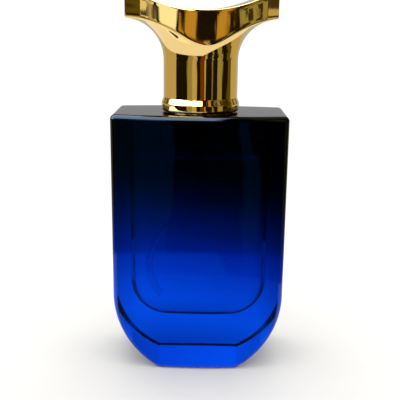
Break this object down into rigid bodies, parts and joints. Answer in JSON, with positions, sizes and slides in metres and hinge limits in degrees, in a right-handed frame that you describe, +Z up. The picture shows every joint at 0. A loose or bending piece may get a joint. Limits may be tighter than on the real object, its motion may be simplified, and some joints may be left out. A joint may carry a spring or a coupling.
{
  "type": "aftershave spray bottle",
  "caption": "Thick blue glass aftershave bottle with half-round base, crimped spray pump and pull-off gold cap with raised wings.",
  "frame": {"origin": "centre of the flat base, on the plane that the bottle stands on", "axes": "+Z up along the pump axis, front face towards -Y, +X to the right seen from the front"},
  "size_m": [0.068, 0.038, 0.1504],
  "materials": {
    "blue_glass": "polished heavy glass, lacquered from clear blue at the foot to black at the shoulder",
    "liquid": "clear pale liquid",
    "rubber_seal": "soft white elastomer",
    "white_plastic": "translucent moulded polypropylene",
    "tube_plastic": "clear extruded polyethylene",
    "black_plastic": "fine satin moulding",
    "ferrule_metal": "drawn aluminium, satin",
    "gold_collar": "bright gold anodised",
    "steel": "polished stainless steel",
    "gold_cap": "mirror gold plating over a die casting"
  },
  "bodies": {
    "flask": {"glass_flask": "blue_glass", "aftershave_liquid": "liquid", "neck_gasket": "rubber_seal", "pump_housing": "white_plastic", "pump_gland": "white_plastic", "crimp_ferrule": "ferrule_metal", "collar_insert": "black_plastic", "collar_shell": "gold_collar", "dip_tube": "tube_plastic", "return_spring": "steel"},
    "valve_ball": {"inlet_ball": "steel"},
    "plunger": {"pump_piston": "white_plastic", "pump_stem": "white_plastic"},
    "button": {"spray_button": "black_plastic", "button_sleeve": "gold_collar", "nozzle_insert": "white_plastic"},
    "cap": {"cap_shell": "gold_cap", "cap_liner": "black_plastic"}
  },
  "joints": [
    {"name": "cap_pull", "type": "slide", "parent": "flask", "child": "cap", "axis": [0, 0, 1], "range_m": [0, 0.03]},
    {"name": "button_press", "type": "slide", "parent": "flask", "child": "plunger", "axis": [0, 0, -1], "range_m": [0, 0.005], "stiffness_N_per_m": 1200, "springref_m": -0.002, "deforming": ["return_spring"]},
    {"name": "button_turn", "type": "hinge", "parent": "plunger", "child": "button", "pos_m": [0, 0, 0.12], "axis": [0, 0, 1], "continuous": true},
    {"name": "ball_lift", "type": "slide", "parent": "flask", "child": "valve_ball", "axis": [0, 0, 1], "range_m": [0, 0.0008]}
  ]
}
